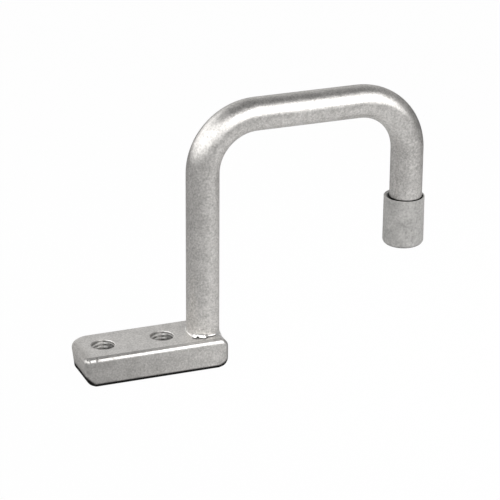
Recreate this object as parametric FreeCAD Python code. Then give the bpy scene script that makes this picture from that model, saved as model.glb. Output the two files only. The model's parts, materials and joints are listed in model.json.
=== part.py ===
import FreeCAD
import Part

import math
import os

# Cable management ring: a bent tube welded upright on a tapped steel bar, its free end in a push-on cap.
# Frame: millimetres, +Z up, +X along the bar towards the ring.
# The origin lies midway between the two tapped holes, on the bar's underside.

# Bar
bar_width = 25.4
bar_height = 12.7
bar_end_margin = 12.1  # outer hole to the top of the bar's plain end
bar_foot_margin = 7.55  # tube axis to the bar's ring end
bar_edge_radius = 1.9  # every edge that has no radius of its own
bar_plain_lean = 1.6  # the sheared plain end leans under by this much over its height
bar_plain_under = 4.6  # under the plain end
bar_plain_corner = 9.0  # the plain end's back corner
bar_foot_over = 4.8  # over and under the ring end
bar_foot_corner = 3.6  # the ring end's two corners

# Tapped holes for two 3/8-16 bolts, at the thread's outer size; the thread itself is left out
hole_spacing = 25.4
hole_radius = 4.77
hole_mouth_radius = 5.0  # the lead-in at both faces
hole_to_tube = 17.8  # inner hole to tube axis

# Ring tube
tube_radius = 6.86
tube_wall = 1.07
bend_radius = 22.8  # at the tube's centre line
leg_spacing = 90.6  # between the two legs' axes
ring_height = 91.4  # bar top to the centre line of the top run
free_end_drop = 64.0  # centre line of the top run down to the free end

# Weld at the tube's foot: a straight run along the front, a shorter one along the back, and a thin fillet between
weld_run_leg = 1.1  # tube's front or back to the run's outer toe
weld_run_rise = 1.15  # top of a run above the bar
weld_ripple_radius = 1.9
weld_ripple_pitch = 1.65
weld_front_start = 5.8  # first ripple to the tube's axis, on the plain side
weld_back_start = 2.0
weld_run_end = 3.5  # tube's axis to the last ripple of each run
weld_fillet_leg = 0.45  # the fillet between the runs, up the tube and out over the bar

# End cap
cap_length = 21.45
cap_wall = 0.7
cap_floor = 1.6
cap_clearance = 1.0  # tube to bore, all round if the cap hung true
cap_side_gap = 0.1  # left on the side where the cap bears on the tube
cap_shift_angle = 105.0  # degrees from +X, the way that the cap is pushed off centre
cap_flare = 0.1  # growth of the outer radius from rim to base
cap_base_radius = 2.2  # round at the closed end
cap_rim_round = 0.3

outer_hole_x = -hole_spacing / 2
inner_hole_x = hole_spacing / 2
bar_left = outer_hole_x - bar_end_margin
tube_x = inner_hole_x + hole_to_tube
bar_right = tube_x + bar_foot_margin
free_leg_x = tube_x + leg_spacing
run_z = bar_height + ring_height
free_end_z = run_z - free_end_drop

up = FreeCAD.Vector(0, 0, 1)


def mounting_bar():
    """Flat bar, rounded in side view and in plan, with a sheared plain end and two tapped through holes."""
    bar = bar_side().common(plain_plan()).common(ring_plan()).removeSplitter()
    bar = bar.makeFillet(bar_edge_radius, sharp_edges(bar))
    for x in (outer_hole_x, inner_hole_x):
        bar = bar.cut(tapped_hole(x))
    return bar


def bar_side():
    """The bar's side view, carried across its width."""
    y = -bar_width / 2
    foot_x = bar_left + bar_plain_lean
    corners = [(bar_left, bar_height), (foot_x, 0), (bar_right, 0), (bar_right, bar_height)]
    points = [FreeCAD.Vector(x, y, z) for x, z in corners + corners[:1]]
    side = Part.Face(Part.makePolygon(points)).extrude(FreeCAD.Vector(0, bar_width, 0))
    radii = {
        (foot_x, 0): bar_plain_under,
        (bar_right, 0): bar_foot_over,
        (bar_right, bar_height): bar_foot_over,
    }
    for (x, z), radius in radii.items():
        side = side.makeFillet(radius, [e for e in side.Edges if passes(e, x, None, z)])
    return side


def plain_plan():
    """The bar's plan at its plain end, carried up along the lean of that end."""
    foot_x = bar_left + bar_plain_lean
    back_y = bar_width / 2
    beyond_x = bar_right + bar_plain_lean
    corner = FreeCAD.Vector(foot_x + bar_plain_corner, back_y - bar_plain_corner, 0)
    arc = Part.makeCircle(bar_plain_corner, corner, up, 90, 180)
    points = [
        FreeCAD.Vector(foot_x, back_y - bar_plain_corner, 0),
        FreeCAD.Vector(foot_x, -back_y, 0),
        FreeCAD.Vector(beyond_x, -back_y, 0),
        FreeCAD.Vector(beyond_x, back_y, 0),
        FreeCAD.Vector(foot_x + bar_plain_corner, back_y, 0),
    ]
    outline = Part.Wire(Part.sortEdges(Part.makePolygon(points).Edges + [arc])[0])
    return Part.Face(outline).extrude(FreeCAD.Vector(-bar_plain_lean, 0, bar_height))


def ring_plan():
    """The bar's plan at its ring end, carried straight up."""
    plan = Part.makeBox(bar_right - bar_left, bar_width, bar_height, FreeCAD.Vector(bar_left, -bar_width / 2, 0))
    for y in (-bar_width / 2, bar_width / 2):
        plan = plan.makeFillet(bar_foot_corner, [e for e in plan.Edges if passes(e, bar_right, y, None)])
    return plan


def passes(edge, x, y, z):
    """Whether a straight edge lies on the line that the two given coordinates name."""
    wanted = (x, y, z)
    for vertex in edge.Vertexes:
        for have, want in zip(vertex.Point, wanted):
            if want is not None and abs(have - want) > 1e-6:
                return False
    return True


def sharp_edges(shape):
    """The edges where two faces still meet at an angle."""
    sharp = []
    for edge in shape.Edges:
        faces = shape.ancestorsOfType(edge, Part.Face)
        if len(faces) < 2:
            continue
        middle = edge.valueAt((edge.FirstParameter + edge.LastParameter) / 2)
        first, second = [face.normalAt(*face.Surface.parameter(middle)) for face in faces[:2]]
        if first.getAngle(second) > math.radians(10):
            sharp.append(edge)
    return sharp


def tapped_hole(x):
    """Cutter for one hole: right through, with a 45 degree lead-in at each face."""
    depth = hole_mouth_radius - hole_radius
    drill = Part.makeCylinder(hole_radius, bar_height, FreeCAD.Vector(x, 0, 0), up)
    top = Part.makeCone(hole_radius, hole_mouth_radius, depth, FreeCAD.Vector(x, 0, bar_height - depth), up)
    foot = Part.makeCone(hole_mouth_radius, hole_radius, depth, FreeCAD.Vector(x, 0, 0), up)
    return drill.fuse([top, foot])


def ring_tube(bore=True):
    """Tube swept up one leg, round a bend, along the top, round a second bend and down to the free end.

    Without its bore it is the rod that other pieces are cut back to.
    """
    outer = Part.Wire(Part.makeCircle(tube_radius, FreeCAD.Vector(tube_x, 0, bar_height), up))
    section = Part.Face(outer)
    if bore:
        inner = Part.makeCircle(tube_radius - tube_wall, FreeCAD.Vector(tube_x, 0, bar_height), up)
        section = section.cut(Part.Face(Part.Wire(inner))).Faces[0]
    bend_z = run_z - bend_radius
    across = FreeCAD.Vector(0, 1, 0)
    first_bend = FreeCAD.Vector(tube_x + bend_radius, 0, bend_z)
    second_bend = FreeCAD.Vector(free_leg_x - bend_radius, 0, bend_z)
    run_length = leg_spacing - 2 * bend_radius

    long_leg = section.extrude(up * (bend_z - bar_height))
    section.translate(up * (bend_z - bar_height))
    near_bend = section.revolve(first_bend, across, 90)
    section.rotate(first_bend, across, 90)
    top_run = section.extrude(FreeCAD.Vector(run_length, 0, 0))
    section.translate(FreeCAD.Vector(run_length, 0, 0))
    far_bend = section.revolve(second_bend, across, 90)
    section.rotate(second_bend, across, 90)
    free_leg = section.extrude(up * (free_end_z - bend_z))
    return long_leg.fuse([near_bend, top_run, far_bend, free_leg])


def weld_bead():
    """Two runs of overlapping ripples and the fillet that joins them, cut back to the tube and the bar."""
    runs = weld_run(-1, weld_front_start) + weld_run(1, weld_back_start)
    bead = side_fillet().fuse(runs)
    return bead.cut([ring_tube(bore=False), mounting_bar()])


def side_fillet():
    """A 45 degree fillet round the foot, and its root over the bar's rounded end."""
    toe_radius = tube_radius + weld_fillet_leg
    toe = FreeCAD.Vector(tube_x, 0, bar_height)
    fillet = Part.makeCone(toe_radius, tube_radius, weld_fillet_leg, toe, up)
    root = Part.makeCylinder(toe_radius, bar_foot_over, toe - up * bar_foot_over, up)
    return fillet.fuse(root)


def weld_run(side, start):
    """Ripples in a straight row along the tube's front (-1) or back (1)."""
    sink = weld_ripple_radius - weld_run_rise
    reach = math.sqrt(weld_ripple_radius**2 - sink**2)
    y = side * (tube_radius + weld_run_leg - reach)
    steps = round((start + weld_run_end) / weld_ripple_pitch)
    ripples = []
    for i in range(steps + 1):
        x = tube_x - start + (start + weld_run_end) * i / steps
        ripples.append(Part.makeSphere(weld_ripple_radius, FreeCAD.Vector(x, y, bar_height - sink)))
    return ripples


def end_cap():
    """Thin cup over the free end: its floor meets the tube's end, and one side bears on the tube."""
    bore = tube_radius + cap_clearance
    rim = bore + cap_wall
    base = rim + cap_flare
    floor_z = free_end_z
    base_z = floor_z - cap_floor
    rim_z = base_z + cap_length
    shift = cap_clearance - cap_side_gap
    x = free_leg_x + shift * math.cos(math.radians(cap_shift_angle))
    y = shift * math.sin(math.radians(cap_shift_angle))

    def at(radius, z):
        return FreeCAD.Vector(x + radius, y, z)

    corners = [(0, base_z), (base, base_z), (rim, rim_z), (bore, rim_z), (bore, floor_z), (0, floor_z)]
    outline = Part.makePolygon([at(*c) for c in corners + corners[:1]])
    cup = Part.Face(outline).revolve(at(0, base_z), up, 360)
    base_edges = [e for e in cup.Edges if is_ring(e, base, base_z)]
    cup = cup.makeFillet(cap_base_radius, base_edges)
    rim_edges = [e for e in cup.Edges if is_ring(e, rim, rim_z) or is_ring(e, bore, rim_z)]
    return cup.makeFillet(cap_rim_round, rim_edges)


def is_ring(edge, radius, z):
    """Whether an edge is the level circle of this radius at this height."""
    curve = edge.Curve
    if not isinstance(curve, Part.Circle):
        return False
    return abs(curve.Radius - radius) < 1e-6 and abs(curve.Center.z - z) < 1e-6


nodes = {
    "mounting_bar": mounting_bar(),
    "ring_tube": ring_tube(),
    "weld_bead": weld_bead(),
    "end_cap": end_cap(),
}

os.makedirs("parts", exist_ok=True)
for name, shape in nodes.items():
    solid = shape.removeSplitter()
    solid.exportStep(f"parts/{name}.step")
    box = solid.BoundBox
    print(name, len(solid.Solids), solid.isValid(), f"{solid.Volume:.0f} mm3", f"z {box.ZMin:.2f} to {box.ZMax:.2f}")
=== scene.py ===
import json
import math

import bmesh
import bpy
from mathutils import Euler, Matrix, Vector, noise
from mathutils.bvhtree import BVHTree


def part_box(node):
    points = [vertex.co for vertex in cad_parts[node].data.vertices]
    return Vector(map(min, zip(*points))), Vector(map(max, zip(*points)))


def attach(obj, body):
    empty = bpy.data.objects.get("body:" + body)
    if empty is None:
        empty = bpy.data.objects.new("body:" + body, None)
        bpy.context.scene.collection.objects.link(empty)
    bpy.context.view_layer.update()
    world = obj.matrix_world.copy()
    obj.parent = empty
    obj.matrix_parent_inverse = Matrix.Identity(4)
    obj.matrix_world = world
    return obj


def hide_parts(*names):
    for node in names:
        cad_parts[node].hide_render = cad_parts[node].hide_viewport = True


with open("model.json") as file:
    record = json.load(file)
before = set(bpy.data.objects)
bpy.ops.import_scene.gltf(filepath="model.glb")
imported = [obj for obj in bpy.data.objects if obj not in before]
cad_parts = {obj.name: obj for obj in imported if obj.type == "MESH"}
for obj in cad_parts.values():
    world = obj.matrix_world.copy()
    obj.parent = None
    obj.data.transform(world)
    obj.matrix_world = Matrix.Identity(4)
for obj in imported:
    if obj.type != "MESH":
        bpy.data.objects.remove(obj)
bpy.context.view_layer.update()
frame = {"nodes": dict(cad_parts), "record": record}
nodes = frame["nodes"]
mm = 0.001
print("frame loaded:", ", ".join(sorted(nodes)))

# the places that the pieces are built from, read off the frame
barLow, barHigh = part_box("mounting_bar")
tubeLow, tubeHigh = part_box("ring_tube")
capLow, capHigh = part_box("end_cap")
mounts = {mount["name"]: mount for mount in frame["record"]["mounts"]}
tubeRadius = (tubeHigh.y - tubeLow.y) / 2
footCentre = Vector((tubeLow.x + tubeRadius, 0, barHigh.z))
freeCentre = Vector((tubeHigh.x - tubeRadius, 0, capHigh.z))
capCentre = Vector(((capLow.x + capHigh.x) / 2, (capLow.y + capHigh.y) / 2, capHigh.z))
boltHoles = [mounts[name] for name in ("outer_bolt_hole", "inner_bolt_hole")]
holeRadius = boltHoles[0]["dims"]["r_mm"] * mm


# camera

shot = {
    "round": 21.62,  # degrees towards the bar's plain end
    "down": 22.0,
    "roll": -0.41,
    "distance": 1027.7 * mm,
    "lens": 180.0,
    "sensor": 36.0,
    "aim": Vector((51.3, 0, 45.2)) * mm,
}


def setCamera():
    turn = math.radians(shot["round"])
    tilt = math.radians(shot["down"])
    lean = math.radians(shot["roll"])
    right = Vector((math.cos(turn), -math.sin(turn), 0))
    back = Vector((-math.sin(turn) * math.cos(tilt), -math.cos(turn) * math.cos(tilt), math.sin(tilt)))
    up = back.cross(right)
    leantRight = right * math.cos(lean) - up * math.sin(lean)
    leantUp = up * math.cos(lean) + right * math.sin(lean)
    view = bpy.data.cameras.new("camera")
    view.lens = shot["lens"]
    view.sensor_width = shot["sensor"]
    camera = bpy.data.objects.new("camera", view)
    bpy.context.scene.collection.objects.link(camera)
    placed = Matrix((leantRight, leantUp, back)).transposed().to_4x4()
    placed.translation = shot["aim"] + back * shot["distance"]
    camera.matrix_world = placed
    bpy.context.scene.camera = camera


setCamera()
print("camera set")


# node maths: a wire is a socket that Python's operators work on

class Wire:
    def __init__(self, graph, socket):
        self.graph = graph
        self.socket = socket

    def calc(self, operation, first, second):
        return self.graph.node("ShaderNodeMath", {"operation": operation}, {0: first, 1: second})

    def __add__(self, other):
        return self.calc("ADD", self, other)

    def __radd__(self, other):
        return self.calc("ADD", other, self)

    def __sub__(self, other):
        return self.calc("SUBTRACT", self, other)

    def __rsub__(self, other):
        return self.calc("SUBTRACT", other, self)

    def __mul__(self, other):
        return self.calc("MULTIPLY", self, other)

    def __rmul__(self, other):
        return self.calc("MULTIPLY", other, self)

    def atMost(self, other):
        return self.calc("MINIMUM", self, other)

    def atLeast(self, other):
        return self.calc("MAXIMUM", self, other)

    def sign(self):
        return self.calc("SIGN", self, 0.0)

    def root(self):
        return self.calc("SQRT", self, 0.0)

    def size(self):
        return self.calc("ABSOLUTE", self, 0.0)


class Graph:
    def __init__(self, tree):
        self.tree = tree

    def node(self, kind, settings=None, inputs=None, output=0):
        made = self.tree.nodes.new(kind)
        for key, value in (settings or {}).items():
            if key == "stops":
                self.setStops(made.color_ramp, value)
            else:
                setattr(made, key, value)
        for key, value in (inputs or {}).items():
            self.feed(made.inputs[key], value)
        return Wire(self, made.outputs[output])

    def setStops(self, ramp, stops):
        while len(ramp.elements) < len(stops):
            ramp.elements.new(1.0)
        for element, (place, shade) in zip(ramp.elements, stops):
            element.position = place
            element.color = shade

    def feed(self, socket, value):
        if isinstance(value, Wire):
            self.tree.links.new(value.socket, socket)
        else:
            socket.default_value = value


class Finish(Graph):
    def __init__(self, owner):
        owner.use_nodes = True
        super().__init__(owner.node_tree)
        self.owner = owner

    def surface(self, values):
        shader = self.tree.nodes["Principled BSDF"]
        for key, value in values.items():
            self.feed(shader.inputs[key], value)

    def place(self):
        return self.node("ShaderNodeTexCoord", output="Object")

    # noise about 0, up to half each way
    def cloud(self, size, detail=2.0, rough=0.5):
        level = self.node(
            "ShaderNodeTexNoise",
            {"noise_dimensions": "3D"},
            {"Vector": self.place(), "Scale": 1 / size, "Detail": detail, "Roughness": rough},
        )
        return level - 0.5

    def along(self, axes="XYZ"):
        split = self.node("ShaderNodeSeparateXYZ", {}, {0: self.place()}).socket.node
        return [Wire(self, split.outputs[axis]) for axis in axes]

    # 1 at and beyond full, 0 at and beyond none, smooth between
    def fade(self, value, full, none):
        return self.node(
            "ShaderNodeMapRange",
            {"interpolation_type": "SMOOTHSTEP"},
            {"Value": value, "From Min": none, "From Max": full},
        )

    def between(self, share, low, high):
        return self.node(
            "ShaderNodeMix",
            {"data_type": "RGBA"},
            {0: share, 6: low, 7: high},
            output=2,
        )

    # marks are laid over a colour in turn: where, how strongly, in what colour
    def paint(self, colour, marks):
        for where, share, shade in marks:
            colour = self.between(where * share, colour, shade)
        return colour

    def tint(self, first, second):
        return self.node(
            "ShaderNodeMix",
            {"data_type": "RGBA", "blend_type": "MULTIPLY"},
            {0: 1.0, 6: first, 7: second},
            output=2,
        )

    def bump(self, height, depth):
        return self.node("ShaderNodeBump", {}, {"Height": height, "Distance": depth, "Strength": 1.0})


def newFinish(name):
    return Finish(bpy.data.materials.new(name))


# finishes

midway = 0.5  # between a finish's dark and light colours
steelLook = {
    "grain": 0.8 * mm,
    "grainDetail": 2.0,
    "grainRough": 0.6,
    "blotch": 4 * mm,
    "blotchDetail": 3.0,
    "grainShare": 1.6,  # how strongly each shows, in colour
    "blotchShare": 0.7,
    "roughSpread": 0.16,
    "pitDepth": 0.05 * mm,
    "metallic": 1.0,
    "rim": (1, 1, 1, 1),  # how much is left of the reflection at a grazing view
}


def zincSteel(name, look, marks):
    finish = newFinish(name)
    grain = finish.cloud(look["grain"], look["grainDetail"], look["grainRough"])
    blotch = finish.cloud(look["blotch"], look["blotchDetail"])
    share = midway + grain * look["grainShare"] + blotch * look["blotchShare"]
    colour = finish.between(share, look["dark"], look["light"])
    roughness = look["roughness"] + blotch * look["roughSpread"]
    colour, roughness = marks(finish, colour, roughness)
    finish.surface({
        "Base Color": colour,
        "Metallic": look["metallic"],
        "Specular Tint": look["rim"],
        "Roughness": roughness,
        "Normal": finish.bump(grain, look["pitDepth"]),
    })
    return finish.owner


# Pairs of lengths say where a mark is full and where it has gone.
# In the two holes, across is measured from the line along which a highlight is painted on the thread,
# below 0 on the ring's side, and ahead is measured from the hole's axis towards that line.
holeLook = {
    "bearing": 62.0,  # of the painted highlight line on the wall, from the ring end
    "farWall": (2 * mm, 1 * mm),  # ahead
    # colour, half width and smoothness of the painted highlight line
    "glint": (0.98, 0.97, 0.95, 1),
    "glintHalf": (0.35 * mm, 0.7 * mm),
    "glintSmooth": 0.3,
    # colour of the painted shade in the holes
    "deep": (0.1, 0.098, 0.095, 1),
    # painted highlight on the lip: down the thread, out over the bar, across at its two ends, ahead
    "mouthDepth": (0.35 * mm, 0.6 * mm),
    "mouthWidth": (0.12 * mm, 0.24 * mm),
    "mouthSide": (-0.5 * mm, 0.1 * mm),
    "mouthEnd": (-2.7 * mm, -3.5 * mm),
    "mouthAhead": (1 * mm, -1 * mm),
    # painted shade in the thread: on the ring's side by depth and across, on the plain side by across
    "ringDeep": (1.4 * mm, 0.9 * mm),
    "ringSide": (-1.5 * mm, -0.9 * mm),
    "ringShare": 0.75,
    "plainSide": (4.1 * mm, 3.0 * mm),
    "plainShare": 0.35,
    # painted shade on the lip of the plain side: across, out over the bar
    "crescent": (3.2 * mm, 2.2 * mm),
    "crescentWidth": (0.25 * mm, 0.5 * mm),
    "crescentShare": 0.45,
    # painted shade on the bar's own wall between the turns: out, down, across
    "groove": (0.03 * mm, 0.12 * mm),
    "grooveDepth": (0.5 * mm, 0.25 * mm),
    "grooveSide": (0.4 * mm, 1.6 * mm),
    "grooveShare": 0.6,
    "grooveRough": 0.25,
    "dot": (-0.25 * mm, 2.1 * mm),  # painted shade, a dark spot in the painted highlight line: across, depth
    "dotSize": (0.35 * mm, 0.6 * mm),
    "dotShare": 0.9,
}


def fromHole(finish):
    x, y, z = finish.along()
    side = x - x.sign() * abs(boltHoles[0]["pos_m"][0])
    return side, y, barHigh.z - z


def turnedToGlint(side, y):
    turn = math.radians(holeLook["bearing"])
    across = y * math.cos(turn) - side * math.sin(turn)
    ahead = side * math.cos(turn) + y * math.sin(turn)
    return across, ahead


def brightLip(finish, across):
    return finish.fade(across, *holeLook["mouthSide"]) * finish.fade(across, *holeLook["mouthEnd"])


# painted highlight and painted shade on the threads
def threadMarks(finish, colour, roughness):
    look = holeLook
    side, y, depth = fromHole(finish)
    across, ahead = turnedToGlint(side, y)
    farWall = finish.fade(ahead, *look["farWall"])
    line = finish.fade(across.size(), *look["glintHalf"]) * farWall
    lip = finish.fade(depth, *look["mouthDepth"]) * brightLip(finish, across)
    glint = line.atLeast(lip)
    ring = finish.fade(depth, *look["ringDeep"]) * finish.fade(across, *look["ringSide"])
    plain = finish.fade(across, *look["plainSide"])
    shaded = (ring * look["ringShare"]).atLeast(plain * look["plainShare"])
    beside = across - look["dot"][0]
    below = depth - look["dot"][1]
    dot = finish.fade((beside * beside + below * below).root(), *look["dotSize"]) * farWall
    colour = finish.paint(colour, [
        (shaded, 1.0, look["deep"]),
        (glint, 1.0, look["glint"]),
        (dot, look["dotShare"], look["deep"]),
    ])
    return colour, roughness - glint * look["glintSmooth"]


# painted highlight and painted shade round the mouths of the holes, on the bar
def mouthMarks(finish, colour, roughness):
    look = holeLook
    side, y, depth = fromHole(finish)
    across, ahead = turnedToGlint(side, y)
    outside = (side * side + y * y).root() - holeRadius
    lip = finish.fade(outside, *look["mouthWidth"]) * brightLip(finish, across)
    lip = lip * finish.fade(ahead, *look["mouthAhead"])
    groove = finish.fade(outside, *look["groove"]) * finish.fade(depth, *look["grooveDepth"])
    crescent = finish.fade(across, *look["crescent"]) * finish.fade(outside, *look["crescentWidth"])
    colour = finish.paint(colour, [
        (lip, 1.0, look["glint"]),
        (groove * finish.fade(across, *look["grooveSide"]), look["grooveShare"], look["deep"]),
        (crescent, look["crescentShare"], look["deep"]),
    ])
    return colour, roughness + groove * look["grooveRough"]


barMarkLook = {
    # colours of the painted highlight and painted light, and of the painted shade
    "shine": (0.86, 0.845, 0.825, 1),
    "shade": (0.17, 0.165, 0.16, 1),
    "top": (0.05 * mm, 0.3 * mm),  # painted light on the top face, which is also a little rougher
    "topShare": 0.2,
    "topRough": 0.16,
    "front": (0.3 * mm, 2.5 * mm),  # painted shade on the front face, darker towards the plain end
    "frontSpan": 1.3,  # where that ends, as a share of the bar's length
    "frontShare": 0.42,
    "endRoughAndShade": (1.0 * mm, 4.5 * mm),  # the sheared end, rougher and darkened by painted shade, from its top edge
    "endSide": (2.4 * mm, 1.2 * mm),  # and from the bar's front
    "endShare": 0.36,
    "endRough": 0.42,
    "ringEndShade": (0.6 * mm, 2.2 * mm),  # painted shade on the ring end
    "ringEndShadeShare": 0.8,
    "edge": (1.1 * mm, 2.2 * mm),  # painted highlight on the front edge, which is also smoother, by how far in and down together
    "edgeShare": (0.25, 0.6),  # at the plain end, at the ring end
    "edgeSpan": (0.75, 0.1),  # as shares of the bar's length
    "edgeSmooth": 0.06,
    "edgeLine": 1.75 * mm,  # painted shade: a dark line along the top, this far from the front
    "edgeLineHalf": (0.1 * mm, 0.55 * mm),
    "edgeLineDepth": (0.1 * mm, 0.4 * mm),
    "edgeLineFade": 0.4,  # weaker by this share at the ring end
    "edgeLineShare": 0.6,
    # dents in the front edge, shown as painted shade breaking the painted highlight and as roughness:
    # place from the plain end, half width, softness, lean and strength
    "nicks": [
        (2.3 * mm, 0.1 * mm, 0.35 * mm, 0.5, 0.85),
        (5.1 * mm, 0.25 * mm, 0.5 * mm, -0.2, 0.8),
        (6.4 * mm, 0.1 * mm, 0.6 * mm, 0.9, 0.35),
        (12.4 * mm, 0.1 * mm, 0.9 * mm, 1.4, 0.3),
    ],
    "nickShare": 0.7,
    "nickRough": 0.5,
    "contactShade": (0.012, 0.012, 0.011, 1),  # painted contact shadow along the lower edge
    "contactShadeHeight": (1.3 * mm, 2.1 * mm),
    "endContactShade": (4.9 * mm, 6.4 * mm),  # higher at the sheared end, and lower again away from it
    "endSlope": 0.9,
    "endHaze": (2.5 * mm, 8.5 * mm),  # thin painted shade above that
    "endHazeShare": 0.5,
    "ringContactShade": (3.2 * mm, 4.6 * mm),  # and likewise at the ring end
    "ringSlope": 0.45,
    "contactShadeRough": 0.3,
}


def edgeNicks(finish, fromEnd, fromFront):
    nick = 0.0
    for place, half, soft, lean, strength in barMarkLook["nicks"]:
        apart = (fromEnd - place + fromFront * lean).size()
        nick = finish.fade(apart, half, half + soft) * strength + nick
    return nick


def barMarks(finish, colour, roughness):
    look = barMarkLook
    x, y, z = finish.along()
    length = barHigh.x - barLow.x
    fromEnd = x - barLow.x
    fromRing = barHigh.x - x
    fromFront = y - barLow.y
    belowTop = barHigh.z - z
    top = finish.fade(belowTop, *look["top"])
    front = finish.fade(fromFront, *look["front"]) * finish.fade(fromEnd, 0, look["frontSpan"] * length)
    end = finish.fade(fromEnd, *look["endRoughAndShade"]) * finish.fade(fromFront, *look["endSide"])
    ring = finish.fade(fromRing, *look["ringEndShade"])
    edge = finish.fade(belowTop + fromFront, *look["edge"])
    towardsRing = finish.fade(fromEnd, *[share * length for share in look["edgeSpan"]])
    atPlain, atRing = look["edgeShare"]
    line = finish.fade((fromFront - look["edgeLine"]).size(), *look["edgeLineHalf"])
    line = line * finish.fade(belowTop, *look["edgeLineDepth"]) * (1 - towardsRing * look["edgeLineFade"])
    nick = edge * edgeNicks(finish, fromEnd, fromFront)
    # painted contact shadow along the lower edge, higher at the two ends
    contactShade = finish.fade(z, *look["contactShadeHeight"])
    contactShade = contactShade.atLeast(finish.fade(z + fromEnd * look["endSlope"], *look["endContactShade"]))
    contactShade = contactShade.atLeast(end * finish.fade(z, *look["endHaze"]) * look["endHazeShare"])
    contactShade = contactShade.atLeast(finish.fade(z + fromRing * look["ringSlope"], *look["ringContactShade"]))
    # painted light on the top, painted highlight on the front edge, painted shade elsewhere
    colour = finish.paint(colour, [
        (top, look["topShare"], look["shine"]),
        (front, look["frontShare"], look["shade"]),
        (end, look["endShare"], look["shade"]),
        (edge, towardsRing * (atRing - atPlain) + atPlain, look["shine"]),
        (line, look["edgeLineShare"], look["shade"]),
        (ring, look["ringEndShadeShare"], look["shade"]),
        (nick, look["nickShare"], look["shade"]),
    ])
    roughness = roughness + top * look["topRough"] - edge * look["edgeSmooth"]
    roughness = roughness + end * look["endRough"] + nick * look["nickRough"] + contactShade * look["contactShadeRough"]
    colour, roughness = mouthMarks(finish, colour, roughness)
    return finish.between(contactShade, colour, look["contactShade"]), roughness


tubeMarkLook = {
    "heat": (5 * mm, 18 * mm),  # dulled by the weld, up from the bar
    "heatRough": 0.2,
    "seam": (0.1 * mm, 0.35 * mm),  # painted shade: a dark line above the cap's rim, in the gap
    "seamShade": (0.012, 0.012, 0.011, 1),
}


def tubeMarks(finish, colour, roughness):
    look = tubeMarkLook
    x, z = finish.along("XZ")
    freeSide = finish.fade(x, freeCentre.x, footCentre.x)
    heat = (1 - freeSide) * finish.fade(z - barHigh.z, *look["heat"])
    # painted shade in the gap above the cap's rim
    seam = freeSide * finish.fade(z - capHigh.z, *look["seam"])
    return finish.between(seam, colour, look["seamShade"]), roughness + heat * look["heatRough"]


capLook = {
    "dark": (0.19, 0.187, 0.179, 1),
    "light": (0.58, 0.568, 0.55, 1),
    "mottle": 0.9 * mm,
    "cloud": 5 * mm,
    "mottleShare": 1.0,
    "cloudShare": 0.6,
    "roughness": 0.55,
    "roughSpread": 0.2,
    "skinDepth": 0.05 * mm,
    "gap": (0.54 * mm, 0.68 * mm),  # painted shade in the gap, this close to the tube
    "gapDepth": (3 * mm, 4 * mm),  # below the rim
    "openSide": (6.3 * mm, 3.8 * mm),  # the painted shade is wider on the long leg's side, by the distance that way
    "openWay": (-0.93, 0.37),
    "openGap": 0.45 * mm,
    "base": (0.4 * mm, 1.5 * mm),  # painted shade, darker below
    "baseShare": 0.4,
    # colour of the painted shade
    "inside": (0.012, 0.012, 0.011, 1),
}


def capVinyl():
    look = capLook
    finish = newFinish("capVinyl")
    x, y, z = finish.along()
    side = x - freeCentre.x
    wayX, wayY = look["openWay"]
    opened = finish.fade(side * wayX + y * wayY, *look["openSide"])
    outside = (side * side + y * y).root() - tubeRadius
    # painted shade in the gap round the tube, wider on one side, and towards the base
    gap = finish.fade(outside - opened * look["openGap"], *look["gap"])
    gap = gap * finish.fade(capHigh.z - z, *look["gapDepth"])
    base = finish.fade(z - capLow.z, *look["base"]) * look["baseShare"]
    mottle = finish.cloud(look["mottle"])
    cloud = finish.cloud(look["cloud"])
    share = midway + mottle * look["mottleShare"] + cloud * look["cloudShare"]
    skin = finish.between(share, look["dark"], look["light"])
    finish.surface({
        "Base Color": finish.between(gap.atLeast(base), skin, look["inside"]),
        "Roughness": look["roughness"] + mottle * look["roughSpread"],
        "Normal": finish.bump(mottle, look["skinDepth"]),
    })
    return finish.owner


weldMarkLook = {
    "toeShade": (0.02, 0.02, 0.018, 1),  # painted shade: a dark line along the front run's toe
    "toeShadeHeight": (0.24 * mm, 0.48 * mm),
    "toeShadeFront": (-6.6 * mm, -5.8 * mm),  # across the bar, from the tube's axis
    "toeShadeEnd": (2.6 * mm, 4.0 * mm),  # past the axis, towards the ring end
    "pit": Vector((-5.1, -7.9, 0.5)) * mm,  # painted shade in a pit, from the foot's centre
    "pitSize": (0.5 * mm, 0.8 * mm),
    "darkShare": 0.95,
    "darkRough": 0.4,
}


def weldMarks(finish, colour, roughness):
    look = weldMarkLook
    x, y, z = finish.along()
    toe = finish.fade(z - barHigh.z, *look["toeShadeHeight"])
    toe = toe * finish.fade(y, *look["toeShadeFront"]) * finish.fade(x - footCentre.x, *look["toeShadeEnd"])
    apart = finish.node(
        "ShaderNodeVectorMath",
        {"operation": "DISTANCE"},
        {0: finish.place(), 1: footCentre + look["pit"]},
        output="Value",
    )
    # painted shade along the toe and in the pit
    dark = toe.atLeast(finish.fade(apart, *look["pitSize"]))
    colour = finish.between(dark * look["darkShare"], colour, look["toeShade"])
    return colour, roughness + dark * look["darkRough"]


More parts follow.
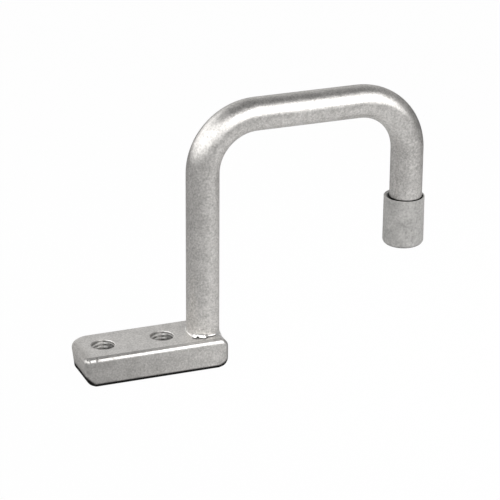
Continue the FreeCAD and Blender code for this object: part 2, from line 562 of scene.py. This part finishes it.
weldMetal = {
    "dark": (0.7, 0.685, 0.665, 1),
    "light": (0.98, 0.965, 0.945, 1),
    "roughness": 0.3,
    "pitDepth": 0.03 * mm,
}
barMetal = {"dark": (0.378, 0.368, 0.353, 1), "light": (0.84, 0.82, 0.796, 1), "roughness": 0.4}
tubeMetal = {
    "dark": (0.372, 0.362, 0.347, 1),
    "light": (0.826, 0.805, 0.781, 1),
    "blotchShare": 0.55,
    "roughness": 0.36,
    "rim": (0.75, 0.75, 0.74, 1),
}
threadMetal = {
    "dark": (0.5, 0.49, 0.475, 1),
    "light": (0.8, 0.785, 0.765, 1),
    "roughness": 0.6,
    "metallic": 0.15,
}
barSteel = zincSteel("barSteel", {**steelLook, **barMetal}, barMarks)
tubeSteel = zincSteel("tubeSteel", {**steelLook, **tubeMetal}, tubeMarks)
threadSteel = zincSteel("threadSteel", {**steelLook, **threadMetal}, threadMarks)
weldSteel = zincSteel("weldSteel", {**steelLook, **weldMetal}, weldMarks)
capSkin = capVinyl()
nodeFinishes = {
    "mounting_bar": barSteel,
    "ring_tube": tubeSteel,
    "weld_bead": weldSteel,
    "end_cap": capSkin,
}
for node, finish in nodeFinishes.items():
    nodes[node].data.materials.clear()
    nodes[node].data.materials.append(finish)
print("finishes made")


# threads in the two holes

threadLook = {
    "pitch": 25.4 / 16 * mm,  # 16 to the inch
    "depth": 0.32 * mm,
    "rootWidth": 1.4 * mm,
    "crestWidth": 0.55 * mm,
    "crestRound": 0.3 * mm,
    "roundSteps": 3,
    "sunk": 0.04 * mm,  # ridge into the hole's wall
    "endClear": 0.45 * mm,  # bar's faces to the ends of the thread
    "runOut": 12.0,  # full depth is reached after 1 / runOut of the thread's length
    "steps": 72,  # per turn
}


def newTree(name, sizes):
    tree = bpy.data.node_groups.new(name, "GeometryNodeTree")
    tree.interface.new_socket("Mesh", in_out="OUTPUT", socket_type="NodeSocketGeometry")
    for key, kind in sizes.items():
        tree.interface.new_socket(key, in_out="INPUT", socket_type="NodeSocket" + kind)
    return tree


def threadTree():
    tree = newTree("threadTree", {
        "Holes": "Int",
        "First Hole": "Vector",
        "Hole Step": "Vector",
        "Wall Radius": "Float",
        "Pitch": "Float",
        "Turns": "Float",
        "Depth": "Float",
        "Root Width": "Float",
        "Crest Width": "Float",
        "Crest Round": "Float",
        "Round Steps": "Int",
        "Run Out": "Float",
        "Steps": "Int",
        "Steel": "Material",
    })
    graph = Graph(tree)
    entry = tree.nodes.new("NodeGroupInput")
    given = {socket.name: Wire(graph, socket) for socket in entry.outputs if socket.name}
    spiral = graph.node("GeometryNodeCurveSpiral", {}, {
        "Resolution": given["Steps"],
        "Rotations": given["Turns"],
        "Start Radius": given["Wall Radius"],
        "End Radius": given["Wall Radius"],
        "Height": given["Turns"] * given["Pitch"],
    })
    upright = graph.node("GeometryNodeSetCurveNormal", {"mode": "Z_UP"}, {"Curve": spiral})
    along = graph.node("GeometryNodeSplineParameter")
    swell = (along * given["Run Out"]).atMost((1 - along) * given["Run Out"]).atMost(1.0)
    section = graph.node("GeometryNodeCurvePrimitiveQuadrilateral", {"mode": "TRAPEZOID"}, {
        "Bottom Width": given["Root Width"],
        "Top Width": given["Crest Width"],
        "Offset": 0.0,
        "Height": given["Depth"],
    })
    # the section's root is moved to the path, and its crest turned to the hole's axis
    shift = graph.node("ShaderNodeCombineXYZ", {}, {0: given["Depth"] * 0.5})
    turned = graph.node("GeometryNodeTransform", {}, {
        "Geometry": section,
        "Translation": shift,
        "Rotation": Euler((0, 0, -math.pi / 2)),
    })
    rounded = graph.node("GeometryNodeFilletCurve", {"mode": "POLY"}, {
        "Curve": turned,
        "Count": given["Round Steps"],
        "Radius": given["Crest Round"],
        "Limit Radius": True,
    })
    ridge = graph.node("GeometryNodeCurveToMesh", {}, {
        "Curve": upright,
        "Profile Curve": rounded,
        "Scale": swell,
        "Fill Caps": True,
    })
    smooth = graph.node("GeometryNodeSetShadeSmooth", {}, {"Geometry": ridge})
    holes = graph.node("GeometryNodeMeshLine", {"mode": "OFFSET", "count_mode": "TOTAL"}, {
        "Count": given["Holes"],
        "Start Location": given["First Hole"],
        "Offset": given["Hole Step"],
    })
    both = graph.node("GeometryNodeInstanceOnPoints", {}, {"Points": holes, "Instance": smooth})
    solid = graph.node("GeometryNodeRealizeInstances", {}, {"Geometry": both})
    finished = graph.node("GeometryNodeSetMaterial", {}, {"Geometry": solid, "Material": given["Steel"]})
    graph.feed(tree.nodes.new("NodeGroupOutput").inputs[0], finished)
    return tree


def grow(name, tree, values):
    holder = bpy.data.objects.new(name, bpy.data.meshes.new(name))
    bpy.context.scene.collection.objects.link(holder)
    growth = holder.modifiers.new(name, "NODES")
    growth.node_group = tree
    for item in tree.interface.items_tree:
        if item.in_out == "INPUT":
            growth[item.identifier] = values[item.name]
    shown = holder.evaluated_get(bpy.context.evaluated_depsgraph_get())
    grown = bpy.data.meshes.new_from_object(shown)
    holder.modifiers.remove(growth)
    holder.data = grown
    return holder


def makeThreads():
    first, second = [Vector(hole["pos_m"]) for hole in boltHoles]
    height = barHigh.z - barLow.z - 2 * threadLook["endClear"]
    threads = grow("holeThreads", threadTree(), {
        "Holes": len(boltHoles),
        "First Hole": Vector((first.x, first.y, barLow.z + threadLook["endClear"])),
        "Hole Step": second - first,
        "Wall Radius": holeRadius + threadLook["sunk"],
        "Pitch": threadLook["pitch"],
        "Turns": height / threadLook["pitch"],
        "Depth": threadLook["depth"],
        "Root Width": threadLook["rootWidth"],
        "Crest Width": threadLook["crestWidth"],
        "Crest Round": threadLook["crestRound"],
        "Round Steps": threadLook["roundSteps"],
        "Run Out": threadLook["runOut"],
        "Steps": threadLook["steps"],
        "Steel": threadSteel,
    })
    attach(threads, "root")
    return threads


threads = makeThreads()
print("threads cut:", len(threads.data.polygons), "faces")


# weld round the tube's foot

weldLook = {
    "frontLeg": 1.1 * mm,  # out from the tube in front of it
    "backLeg": 0.7 * mm,
    "plainLeg": 0.2 * mm,  # towards the bar's plain end
    "ringLeg": 0.45 * mm,  # towards the ring end
    "runCorner": 10.0,  # how square the toe turns where the front run starts
    "roundCorner": 2.3,  # and everywhere else
    "rise": 0.75 * mm,  # up the tube
    "sideRise": 0.25 * mm,
    "crown": 0.16,  # swell, as a share of the face; none at the ring end
    "crownPower": 2.6,  # how flat the swell is across the face
    "ripples": 36,
    "rippleDepth": 0.03 * mm,
    "chevron": 2.2,  # how far a ripple trails at its edges
    "wander": 0.2,  # uneven legs, as a share
    "wanderScale": 2.3,
    "wanderFrom": Vector((3.1, 0.7, 1.9)),
    "sunk": 0.06 * mm,  # toes into the tube and the bar
    "rootDepth": 0.2 * mm,
    "steps": 360,
    "faceSteps": 16,
}
# where the run climbs higher up the tube, by angle round it from the ring end
weldClimbs = [
    {"angle": -124, "width": 16, "rise": 1.2 * mm},
    {"angle": -104, "width": 12, "rise": 0.7 * mm},
    {"angle": -74, "width": 15, "rise": 0.25 * mm},
    {"angle": 80, "width": 30, "rise": 0.3 * mm},
]
# and where its toe runs further out over the bar
weldSpreads = [
    {"angle": -105, "width": 9, "leg": 1.3 * mm},
    {"angle": -27, "width": 13, "leg": 0.55 * mm},
]
# thicker spots, a dip and a pit, by angle, place across the face and size
weldLumps = [
    {"angle": -133, "across": 0.55, "width": 9, "reach": 0.45, "height": 0.25 * mm},
    {"angle": -112, "across": 0.5, "width": 8, "reach": 0.4, "height": 0.22 * mm},
    {"angle": -74, "across": 0.5, "width": 13, "reach": 0.4, "height": 0.16 * mm},
    {"angle": -96, "across": 0.5, "width": 4, "reach": 0.5, "height": -0.07 * mm},
    {"angle": -124, "across": 0.82, "width": 3.4, "reach": 0.14, "height": -0.6 * mm},
    {"angle": 82, "across": 0.5, "width": 15, "reach": 0.45, "height": 0.16 * mm},
]
spatterLook = {
    "flat": 0.6,  # height, as a share of the radius
    "subdivisions": 3,
    "drops": [
        {"angle": -121, "up": 3.1 * mm, "radius": 0.3 * mm},
        {"angle": -64, "up": 2.6 * mm, "radius": 0.22 * mm},
        {"angle": 70, "up": 3.0 * mm, "radius": 0.4 * mm},
        {"angle": 141, "up": 2.2 * mm, "radius": 0.3 * mm},
    ],
}
barTree = BVHTree.FromObject(nodes["mounting_bar"], bpy.context.evaluated_depsgraph_get())


def barTop(point):
    above = Vector((point.x, point.y, barHigh.z + tubeRadius))
    hit = barTree.ray_cast(above, Vector((0, 0, -1)))[0]
    return hit.z if hit else barLow.z


def blendBetween(low, high, share):
    return low + (high - low) * share


def toeReach(turn):
    side = math.cos(turn)
    face = math.sin(turn)
    sideLeg = weldLook["plainLeg"] if side < 0 else weldLook["ringLeg"]
    faceLeg = weldLook["frontLeg"] if face < 0 else weldLook["backLeg"]
    corner = weldLook["runCorner"] if side < 0 and face < 0 else weldLook["roundCorner"]
    across = abs(side) / (tubeRadius + sideLeg)
    ahead = abs(face) / (tubeRadius + faceLeg)
    return (across**corner + ahead**corner) ** (-1 / corner) - tubeRadius


def turnAway(turn, spot):
    return math.remainder(math.degrees(turn) - spot["angle"], 360) / spot["width"]


def weldSwell(turn, across, face):
    flat = max(0, math.cos(turn)) ** 2
    swell = weldLook["crown"] * (1 - flat) * face * (1 - abs(2 * across - 1) ** weldLook["crownPower"])
    window = math.sin(math.pi * across)
    trail = weldLook["chevron"] * (2 * across - 1) ** 2
    swell += weldLook["rippleDepth"] * window * math.sin(weldLook["ripples"] * turn + trail)
    for lump in weldLumps:
        aside = (across - lump["across"]) / lump["reach"]
        swell += lump["height"] * math.exp(-(turnAway(turn, lump) ** 2) - aside**2) * window
    return swell


def weldSection(turn):
    out = Vector((math.cos(turn), math.sin(turn), 0))
    uneven = 1 + weldLook["wander"] * noise.noise(out * weldLook["wanderScale"] + weldLook["wanderFrom"])
    leg = toeReach(turn) * uneven
    for spread in weldSpreads:
        leg += spread["leg"] * math.exp(-(turnAway(turn, spread) ** 2))
    rise = blendBetween(weldLook["sideRise"], weldLook["rise"], math.sin(turn) ** 2) * uneven
    for climb in weldClimbs:
        rise += climb["rise"] * math.exp(-(turnAway(turn, climb) ** 2))
    onTube = footCentre + out * (tubeRadius - weldLook["sunk"]) + Vector((0, 0, rise))
    toe = footCentre + out * (tubeRadius + leg)
    toe.z = barTop(toe) - weldLook["sunk"]
    root = footCentre + out * (tubeRadius - weldLook["rootDepth"])
    root.z = barTop(root) - weldLook["rootDepth"]
    chord = toe - onTube
    away = Vector((0, 0, 1)) * chord.dot(out) - out * chord.z
    away.normalize()
    points = []
    for step in range(weldLook["faceSteps"] + 1):
        across = step / weldLook["faceSteps"]
        points.append(onTube + chord * across + away * weldSwell(turn, across, chord.length))
    return points + [root]


def addSpatter(shape, drop):
    turn = math.radians(drop["angle"])
    out = Vector((math.cos(turn), math.sin(turn), 0))
    place = footCentre + out * tubeRadius + Vector((0, 0, drop["up"]))
    flat = Matrix.Diagonal((spatterLook["flat"], 1, 1, 1))
    turned = Matrix.Translation(place) @ Matrix.Rotation(turn, 4, "Z") @ flat
    bmesh.ops.create_icosphere(
        shape,
        subdivisions=spatterLook["subdivisions"],
        radius=drop["radius"],
        matrix=turned,
    )


# a closed band from sections all round
def sweepRound(section, steps):
    shape = bmesh.new()
    rings = []
    for step in range(steps):
        turn = 2 * math.pi * step / steps
        rings.append([shape.verts.new(point) for point in section(turn)])
    for ring, following in zip(rings, rings[1:] + rings[:1]):
        count = len(ring)
        for i in range(count):
            j = (i + 1) % count
            shape.faces.new((ring[i], ring[j], following[j], following[i]))
    return shape


def placePiece(name, shape, finish, smooth):
    bmesh.ops.recalc_face_normals(shape, faces=shape.faces)
    for face in shape.faces:
        face.smooth = smooth
    mesh = bpy.data.meshes.new(name)
    shape.to_mesh(mesh)
    shape.free()
    mesh.materials.append(finish)
    piece = bpy.data.objects.new(name, mesh)
    bpy.context.scene.collection.objects.link(piece)
    return piece


def makeWeld():
    shape = sweepRound(weldSection, weldLook["steps"])
    for drop in spatterLook["drops"]:
        addSpatter(shape, drop)
    weld = placePiece("weldRun", shape, weldSteel, True)
    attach(weld, "root")
    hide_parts("weld_bead")
    return weld


weld = makeWeld()
print("weld run:", len(weld.data.polygons), "faces")


# lip inside the cap's rim, close round the tube

lipLook = {
    "gap": 0.4 * mm,  # to the tube
    "bore": 7.86 * mm,  # the cap's own
    "sunk": 0.2 * mm,  # into the cap's wall
    "drop": 0.15 * mm,  # below the rim
    "depth": 1.6 * mm,
    "thinnest": 0.05 * mm,
    "steps": 144,
}


def lipSection(turn):
    out = Vector((math.cos(turn), math.sin(turn), 0))
    shift = freeCentre - capCentre
    reach = lipLook["bore"] + lipLook["sunk"]
    lean = out.dot(shift)
    outer = math.sqrt(lean**2 - shift.length_squared + reach**2) - lean
    inner = min(tubeRadius + lipLook["gap"], outer - lipLook["sunk"] - lipLook["thinnest"])
    top = freeCentre.z - lipLook["drop"]
    foot = top - lipLook["depth"]
    corners = [(inner, foot), (inner, top), (outer, top), (outer, foot)]
    return [Vector((freeCentre.x, freeCentre.y, z)) + out * radius for radius, z in corners]


def makeLip():
    lip = placePiece("capLip", sweepRound(lipSection, lipLook["steps"]), capSkin, False)
    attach(lip, "root")
    return lip


lip = makeLip()
print("cap lip:", len(lip.data.polygons), "faces")


# studio

studio = {
    "floorSize": 6.0,
    # the paper carries a painted pool of light, brightest in a long patch beside the ring's free end: its
    # turn and half sizes, then shade by distance from its centre
    "poolCentre": Vector((165, -25, 0)) * mm,
    "poolTurn": -56.0,
    "poolSize": Vector((480, 327, 1000)) * mm,
    "poolLightShades": [(0.1, 0.98), (0.28, 0.95), (0.42, 0.79), (0.56, 0.68), (0.78, 0.53), (1.0, 0.42)],
    "floorRough": 0.9,
    "floorGloss": 0.1,
    "cameraWhite": 0.985,  # plain white in what the camera sees of the floor; the rest is lit paper
    "contact": 0.2 * mm,  # reach of the contact shadow in that white
    "contactSamples": 16,
    "contactSpan": (0.25, 0.55),  # openness where the shadow is full, and where it ends
    "fill": 0.25,  # level of the room for matt surfaces
    # what metal sees of the room: sine of the height, then level
    "backdrop": [
        (0.0, 0.62),
        (0.18, 0.8),
        (0.3, 1.0),
        (0.45, 0.95),
        (0.64, 0.55),
        (0.85, 0.41),
        (0.95, 0.18),
    ],
    # a dark flag on the ring's side: sine towards it, then level
    "ringSide": [(0.35, 1.0), (0.7, 0.6), (0.95, 0.4)],
}
# metres, degrees from the front towards the ring's side, degrees up, watts
lamps = {
    "keyBox": {"size": (1.32, 0.98), "round": 30.0, "up": 33.5, "distance": 1.1, "power": 9.5},
    "frontLeftBox": {"size": (1.44, 0.93), "round": -50.0, "up": 35.0, "distance": 1.1, "power": 5.0},
    "backLeftBox": {"size": (1.6, 0.87), "round": -120.0, "up": 30.5, "distance": 1.1, "power": 4.0},
}


def grey(level):
    return (level, level, level, 1)


def greyStops(stops):
    return [(place, grey(level)) for place, level in stops]


def setFloor():
    half = studio["floorSize"] / 2
    mesh = bpy.data.meshes.new("floor")
    corners = [(-half, -half, 0), (half, -half, 0), (half, half, 0), (-half, half, 0)]
    mesh.from_pydata(corners, [], [(0, 1, 2, 3)])
    floor = bpy.data.objects.new("floor", mesh)
    bpy.context.scene.collection.objects.link(floor)
    finish = newFinish("floorPaper")
    # painted pool of light on the paper
    pool = finish.node("ShaderNodeMapping", {"vector_type": "TEXTURE"}, {
        "Vector": finish.place(),
        "Location": studio["poolCentre"],
        "Rotation": Euler((0, 0, math.radians(studio["poolTurn"]))),
        "Scale": studio["poolSize"],
    })
    apart = finish.node("ShaderNodeVectorMath", {"operation": "LENGTH"}, {0: pool}, output="Value")
    shade = finish.node("ShaderNodeValToRGB", {"stops": greyStops(studio["poolLightShades"])}, {0: apart})
    finish.surface({
        "Base Color": shade,
        "Roughness": studio["floorRough"],
        "Specular IOR Level": studio["floorGloss"],
    })
    cameraRay = finish.node("ShaderNodeLightPath", output="Is Camera Ray")
    openness = finish.node(
        "ShaderNodeAmbientOcclusion",
        {"samples": studio["contactSamples"]},
        {"Distance": studio["contact"]},
        output="AO",
    )
    lit = Wire(finish, finish.tree.nodes["Principled BSDF"].outputs[0])
    dark, clear = studio["contactSpan"]
    level = finish.fade(openness, clear, dark)
    white = finish.node("ShaderNodeEmission", {}, {"Color": grey(1), "Strength": level})
    share = cameraRay * studio["cameraWhite"]
    mixed = finish.node("ShaderNodeMixShader", {}, {0: share, 1: lit, 2: white})
    finish.feed(finish.tree.nodes["Material Output"].inputs["Surface"], mixed)
    mesh.materials.append(finish.owner)


def setWorld():
    world = bpy.data.worlds.new("studio")
    bpy.context.scene.world = world
    finish = Finish(world)
    direction = finish.node("ShaderNodeTexCoord", output="Generated")
    towardsRing = finish.node("ShaderNodeSeparateXYZ", {}, {0: direction})
    height = Wire(finish, towardsRing.socket.node.outputs["Z"])
    room = finish.node("ShaderNodeValToRGB", {"stops": greyStops(studio["backdrop"])}, {0: height})
    flag = finish.node("ShaderNodeValToRGB", {"stops": greyStops(studio["ringSide"])}, {0: towardsRing})
    glossyRay = finish.node("ShaderNodeLightPath", output="Is Glossy Ray")
    cameraRay = finish.node("ShaderNodeLightPath", output="Is Camera Ray")
    around = finish.between(glossyRay, grey(studio["fill"]), finish.tint(room, flag))
    shown = finish.between(cameraRay, around, grey(1))
    finish.feed(finish.tree.nodes["Background"].inputs["Color"], shown)


def setLamp(name, box):
    lamp = bpy.data.lights.new(name, "AREA")
    lamp.shape = "RECTANGLE"
    lamp.size = box["size"][0]
    lamp.size_y = box["size"][1]
    lamp.energy = box["power"]
    turn = math.radians(box["round"])
    rise = math.radians(box["up"])
    away = Vector((math.sin(turn) * math.cos(rise), -math.cos(turn) * math.cos(rise), math.sin(rise)))
    holder = bpy.data.objects.new(name, lamp)
    bpy.context.scene.collection.objects.link(holder)
    facing = away.to_track_quat("Z", "Y").to_matrix().to_4x4()
    holder.matrix_world = Matrix.Translation(shot["aim"] + away * box["distance"]) @ facing


setFloor()
setWorld()
for name, box in lamps.items():
    setLamp(name, box)
bpy.context.scene.view_settings.view_transform = "Standard"
print("studio lit")
